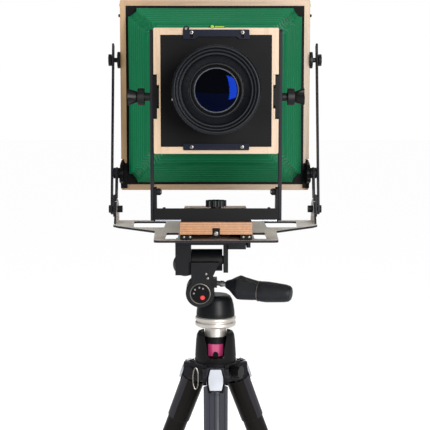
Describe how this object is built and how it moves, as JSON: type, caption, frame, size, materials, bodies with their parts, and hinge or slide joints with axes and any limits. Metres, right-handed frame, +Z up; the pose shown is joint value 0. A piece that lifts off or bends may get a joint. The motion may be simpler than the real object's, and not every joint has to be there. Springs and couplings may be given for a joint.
{
  "type": "film camera on tripod",
  "caption": "Large-format folding film camera with pleated bellows and lens, on a three-way head and a telescopic tripod.",
  "frame": {"origin": "on the floor at the centre of the footprint of the standing tripod and camera", "axes": "+Z up, the lens looks along -Y, +X to the right as the lens is seen from the front"},
  "size_m": [0.4568, 0.4522, 1.054],
  "materials": {
    "spider_black": "satin",
    "crown_black": "satin",
    "tube_black": "semi-gloss",
    "casting_grey": "satin",
    "silver": "satin",
    "rubber_black": "matte",
    "plastic_black": "matte",
    "head_black": "satin",
    "grip_black": "satin",
    "key_silver": "satin",
    "base_grey": "fine texture",
    "bracket_black": "satin",
    "strut_black": "satin",
    "bed_wood": "lacquered",
    "birch": "lacquered",
    "frame_wood": "lacquered",
    "steel": "brushed",
    "board_black": "matte",
    "clip_blue": "satin",
    "lens_black": "satin",
    "lens_glass": "coated",
    "screen_glass": "ground",
    "bellows_green": "satin"
  },
  "bodies": {
    "tripod": {"spider": "spider_black", "crown": "crown_black"},
    "column_lock": {"column_lock_knob": "plastic_black"},
    "column": {"column_tube": "tube_black", "column_head": "silver", "head_base": "head_black"},
    "pan_head": {"pan_body": "head_black"},
    "pan_lock": {"pan_lock_knob": "plastic_black"},
    "side_handle": {"side_tilt_handle": "grip_black"},
    "neck": {"tilt_neck": "head_black"},
    "platform": {"head_platform": "head_black", "quick_release_plate": "head_black", "base_plate": "base_grey", "bed_guides": "bracket_black", "rear_supports": "strut_black"},
    "release_lever": {"quick_release_lever": "key_silver"},
    "fore_handle": {"fore_tilt_handle": "grip_black"},
    "bed": {"focus_bed": "bed_wood"},
    "bed_screw": {"focus_screw": "steel"},
    "bracket": {"front_bracket": "bracket_black"},
    "swing_lock": {"swing_knob": "plastic_black"},
    "uprights": {"front_uprights": "strut_black"},
    "riser": {"tilt_plates": "bracket_black"},
    "left_front_lock": {"front_knob_left": "plastic_black"},
    "right_front_lock": {"front_knob_right": "plastic_black"},
    "lens_standard": {"front_frame": "birch", "lens_board": "board_black", "bottom_clip": "clip_blue", "shutter": "lens_black", "lens_barrel": "lens_black", "front_element": "lens_glass", "bellows": "bellows_green"},
    "board_clip": {"top_clip": "clip_blue"},
    "shutter_ring": {"shutter_lever": "steel"},
    "film_standard": {"rear_frame": "frame_wood", "rear_hinge_plates": "bracket_black"},
    "braces": {"rear_braces": "strut_black"},
    "left_rear_lock": {"rear_knob_left": "plastic_black"},
    "right_rear_lock": {"rear_knob_right": "plastic_black"},
    "back": {"spring_back": "frame_wood", "ground_glass": "screen_glass"},
    "leg_1_top": {"leg_1_upper": "tube_black"},
    "leg_1_key": {"leg_1_angle_lock": "key_silver"},
    "leg_1_mid": {"leg_1_middle": "casting_grey"},
    "leg_1_low": {"leg_1_lower": "rubber_black"},
    "leg_1_lever_a": {"leg_1_upper_lever": "plastic_black"},
    "leg_1_lever_b": {"leg_1_middle_lever": "plastic_black"},
    "leg_2_top": {"leg_2_upper": "tube_black"},
    "leg_2_key": {"leg_2_angle_lock": "key_silver"},
    "leg_2_mid": {"leg_2_middle": "casting_grey"},
    "leg_2_low": {"leg_2_lower": "rubber_black"},
    "leg_2_lever_a": {"leg_2_upper_lever": "plastic_black"},
    "leg_2_lever_b": {"leg_2_middle_lever": "plastic_black"},
    "leg_3_top": {"leg_3_upper": "tube_black"},
    "leg_3_key": {"leg_3_angle_lock": "key_silver"},
    "leg_3_mid": {"leg_3_middle": "casting_grey"},
    "leg_3_low": {"leg_3_lower": "rubber_black"},
    "leg_3_lever_a": {"leg_3_upper_lever": "plastic_black"},
    "leg_3_lever_b": {"leg_3_middle_lever": "plastic_black"}
  },
  "joints": [
    {"name": "column_rise", "type": "slide", "parent": "tripod", "child": "column", "axis": [0, 0, 1], "range_m": [0, 0.22]},
    {"name": "pan", "type": "hinge", "parent": "column", "child": "pan_head", "pos_m": [0, 0.0354, 0.60837], "axis": [0, 0, 1], "continuous": true},
    {"name": "side_tilt", "type": "hinge", "parent": "pan_head", "child": "neck", "pos_m": [-0.0215, 0.0354, 0.63397], "axis": [0, 1, 0], "range_deg": [-90, 0]},
    {"name": "fore_tilt", "type": "hinge", "parent": "neck", "child": "platform", "pos_m": [0, 0.0354, 0.67737], "axis": [1, 0, 0], "range_deg": [-30, 35]},
    {"name": "focus", "type": "slide", "parent": "platform", "child": "bed", "axis": [0, -1, 0], "range_m": [-0.03, 0.06], "deforming": ["bellows"]},
    {"name": "front_swing", "type": "hinge", "parent": "bed", "child": "bracket", "pos_m": [0, -0.0766, 0.74397], "axis": [0, 0, 1], "range_deg": [-10, 10], "deforming": ["bellows"]},
    {"name": "front_fold", "type": "hinge", "parent": "bracket", "child": "uprights", "pos_m": [0, -0.0766, 0.78147], "axis": [1, 0, 0], "range_deg": [-8, 8], "deforming": ["bellows"]},
    {"name": "front_rise", "type": "slide", "parent": "uprights", "child": "riser", "axis": [0, 0, 1], "range_m": [-0.03, 0.04], "deforming": ["bellows"]},
    {"name": "front_tilt", "type": "hinge", "parent": "riser", "child": "lens_standard", "pos_m": [0, -0.0806, 0.90297], "axis": [1, 0, 0], "range_deg": [-12, 12], "deforming": ["bellows"]},
    {"name": "rear_tilt", "type": "hinge", "parent": "platform", "child": "film_standard", "pos_m": [0, 0.1534, 0.79337], "axis": [1, 0, 0], "range_deg": [-6, 10], "deforming": ["bellows"]},
    {"name": "brace_swing", "type": "hinge", "parent": "platform", "child": "braces", "pos_m": [0, 0.1374, 0.74037], "axis": [1, 0, 0], "range_deg": [-6, 10]},
    {"name": "back_open", "type": "slide", "parent": "film_standard", "child": "back", "axis": [0, 1, 0], "range_m": [0, 0.012], "stiffness_N_per_m": 600, "springref_m": -0.008},
    {"name": "turn_column_lock", "type": "hinge", "parent": "tripod", "child": "column_lock", "pos_m": [0, 0.0354, 0.52137], "axis": [0.866, -0.5, 0], "range_deg": [0, 180]},
    {"name": "turn_pan_lock", "type": "hinge", "parent": "pan_head", "child": "pan_lock", "pos_m": [0, 0.0536, 0.61167], "axis": [0, 1, 0], "range_deg": [0, 180]},
    {"name": "turn_side_handle", "type": "hinge", "parent": "pan_head", "child": "side_handle", "pos_m": [-0.0058, 0.0294, 0.64647], "axis": [0.9374, -0.3412, -0.0698], "range_deg": [-90, 90]},
    {"name": "turn_fore_handle", "type": "hinge", "parent": "platform", "child": "fore_handle", "pos_m": [-0.046, 0.0484, 0.67737], "axis": [0, 0.9781, -0.2079], "range_deg": [-90, 90]},
    {"name": "release", "type": "hinge", "parent": "platform", "child": "release_lever", "pos_m": [0.0456, 0.0194, 0.69737], "axis": [0, 0, -1], "range_deg": [0, 80]},
    {"name": "turn_focus_screw", "type": "hinge", "parent": "bed", "child": "bed_screw", "pos_m": [0, 0.0354, 0.72977], "axis": [0, 1, 0], "range_deg": [-1082, 2162]},
    {"name": "turn_swing_lock", "type": "hinge", "parent": "bed", "child": "swing_lock", "pos_m": [0, -0.0766, 0.74397], "axis": [0, 0, 1], "range_deg": [0, 180]},
    {"name": "turn_left_front_lock", "type": "hinge", "parent": "riser", "child": "left_front_lock", "pos_m": [-0.084, -0.0806, 0.90297], "axis": [1, 0, 0], "range_deg": [0, 120]},
    {"name": "turn_right_front_lock", "type": "hinge", "parent": "riser", "child": "right_front_lock", "pos_m": [0.084, -0.0806, 0.90297], "axis": [1, 0, 0], "range_deg": [0, 120]},
    {"name": "clip_lift", "type": "slide", "parent": "lens_standard", "child": "board_clip", "axis": [0, 0, 1], "range_m": [0, 0.0052]},
    {"name": "shutter_turn", "type": "hinge", "parent": "lens_standard", "child": "shutter_ring", "pos_m": [0, -0.1086, 0.90997], "axis": [0, 1, 0], "range_deg": [0, 40]},
    {"name": "turn_left_rear_lock", "type": "hinge", "parent": "film_standard", "child": "left_rear_lock", "pos_m": [-0.15, 0.18087, 0.96397], "axis": [1, 0, 0], "range_deg": [0, 180]},
    {"name": "turn_right_rear_lock", "type": "hinge", "parent": "film_standard", "child": "right_rear_lock", "pos_m": [0.15, 0.18087, 0.96397], "axis": [1, 0, 0], "range_deg": [0, 180]},
    {"name": "leg_1_fold", "type": "hinge", "parent": "tripod", "child": "leg_1_top", "pos_m": [0, 0.0044, 0.51737], "axis": [1, 0, 0], "range_deg": [0, 21]},
    {"name": "leg_2_fold", "type": "hinge", "parent": "tripod", "child": "leg_2_top", "pos_m": [0.02685, 0.0509, 0.51737], "axis": [-0.5, 0.866, 0], "range_deg": [0, 21]},
    {"name": "leg_3_fold", "type": "hinge", "parent": "tripod", "child": "leg_3_top", "pos_m": [-0.02685, 0.0509, 0.51737], "axis": [-0.5, -0.866, 0], "range_deg": [0, 21]},
    {"name": "leg_1_extend_a", "type": "slide", "parent": "leg_1_top", "child": "leg_1_mid", "axis": [0, -0.3827, -0.9239], "range_m": [0, 0.32]},
    {"name": "leg_1_extend_b", "type": "slide", "parent": "leg_1_mid", "child": "leg_1_low", "axis": [0, -0.3827, -0.9239], "range_m": [0, 0.33]},
    {"name": "leg_2_extend_a", "type": "slide", "parent": "leg_2_top", "child": "leg_2_mid", "axis": [0.3314, 0.1913, -0.9239], "range_m": [0, 0.32]},
    {"name": "leg_2_extend_b", "type": "slide", "parent": "leg_2_mid", "child": "leg_2_low", "axis": [0.3314, 0.1913, -0.9239], "range_m": [0, 0.33]},
    {"name": "leg_3_extend_a", "type": "slide", "parent": "leg_3_top", "child": "leg_3_mid", "axis": [-0.3314, 0.1913, -0.9239], "range_m": [0, 0.32]},
    {"name": "leg_3_extend_b", "type": "slide", "parent": "leg_3_mid", "child": "leg_3_low", "axis": [-0.3314, 0.1913, -0.9239], "range_m": [0, 0.33]},
    {"name": "leg_1_clamp_a", "type": "hinge", "parent": "leg_1_top", "child": "leg_1_lever_a", "pos_m": [0, -0.18462, 0.12374], "axis": [0, -0.3827, -0.9239], "range_deg": [0, 100]},
    {"name": "leg_1_clamp_b", "type": "hinge", "parent": "leg_1_mid", "child": "leg_1_lever_b", "pos_m": [0, -0.19915, 0.08214], "axis": [0, -0.3827, -0.9239], "range_deg": [0, 100]},
    {"name": "leg_1_key_pull", "type": "slide", "parent": "leg_1_top", "child": "leg_1_key", "axis": [0, -0.9239, 0.3827], "range_m": [0, 0.004], "stiffness_N_per_m": 500, "springref_m": -0.003},
    {"name": "leg_2_clamp_a", "type": "hinge", "parent": "leg_2_top", "child": "leg_2_lever_a", "pos_m": [0.19055, 0.14542, 0.12374], "axis": [0.3314, 0.1913, -0.9239], "range_deg": [0, 100]},
    {"name": "leg_2_clamp_b", "type": "hinge", "parent": "leg_2_mid", "child": "leg_2_lever_b", "pos_m": [0.20313, 0.15268, 0.08214], "axis": [0.3314, 0.1913, -0.9239], "range_deg": [0, 100]},
    {"name": "leg_2_key_pull", "type": "slide", "parent": "leg_2_top", "child": "leg_2_key", "axis": [0.8001, 0.4619, 0.3827], "range_m": [0, 0.004], "stiffness_N_per_m": 500, "springref_m": -0.003},
    {"name": "leg_3_clamp_a", "type": "hinge", "parent": "leg_3_top", "child": "leg_3_lever_a", "pos_m": [-0.19055, 0.14542, 0.12374], "axis": [-0.3314, 0.1913, -0.9239], "range_deg": [0, 100]},
    {"name": "leg_3_clamp_b", "type": "hinge", "parent": "leg_3_mid", "child": "leg_3_lever_b", "pos_m": [-0.20313, 0.15268, 0.08214], "axis": [-0.3314, 0.1913, -0.9239], "range_deg": [0, 100]},
    {"name": "leg_3_key_pull", "type": "slide", "parent": "leg_3_top", "child": "leg_3_key", "axis": [-0.8001, 0.4619, 0.3827], "range_m": [0, 0.004], "stiffness_N_per_m": 500, "springref_m": -0.003}
  ],
  "couplings": [
    {"joint": "turn_focus_screw", "follows": "focus", "rad_per_m": 628.32},
    {"joint": "brace_swing", "follows": "rear_tilt", "ratio": 0.7582}
  ]
}
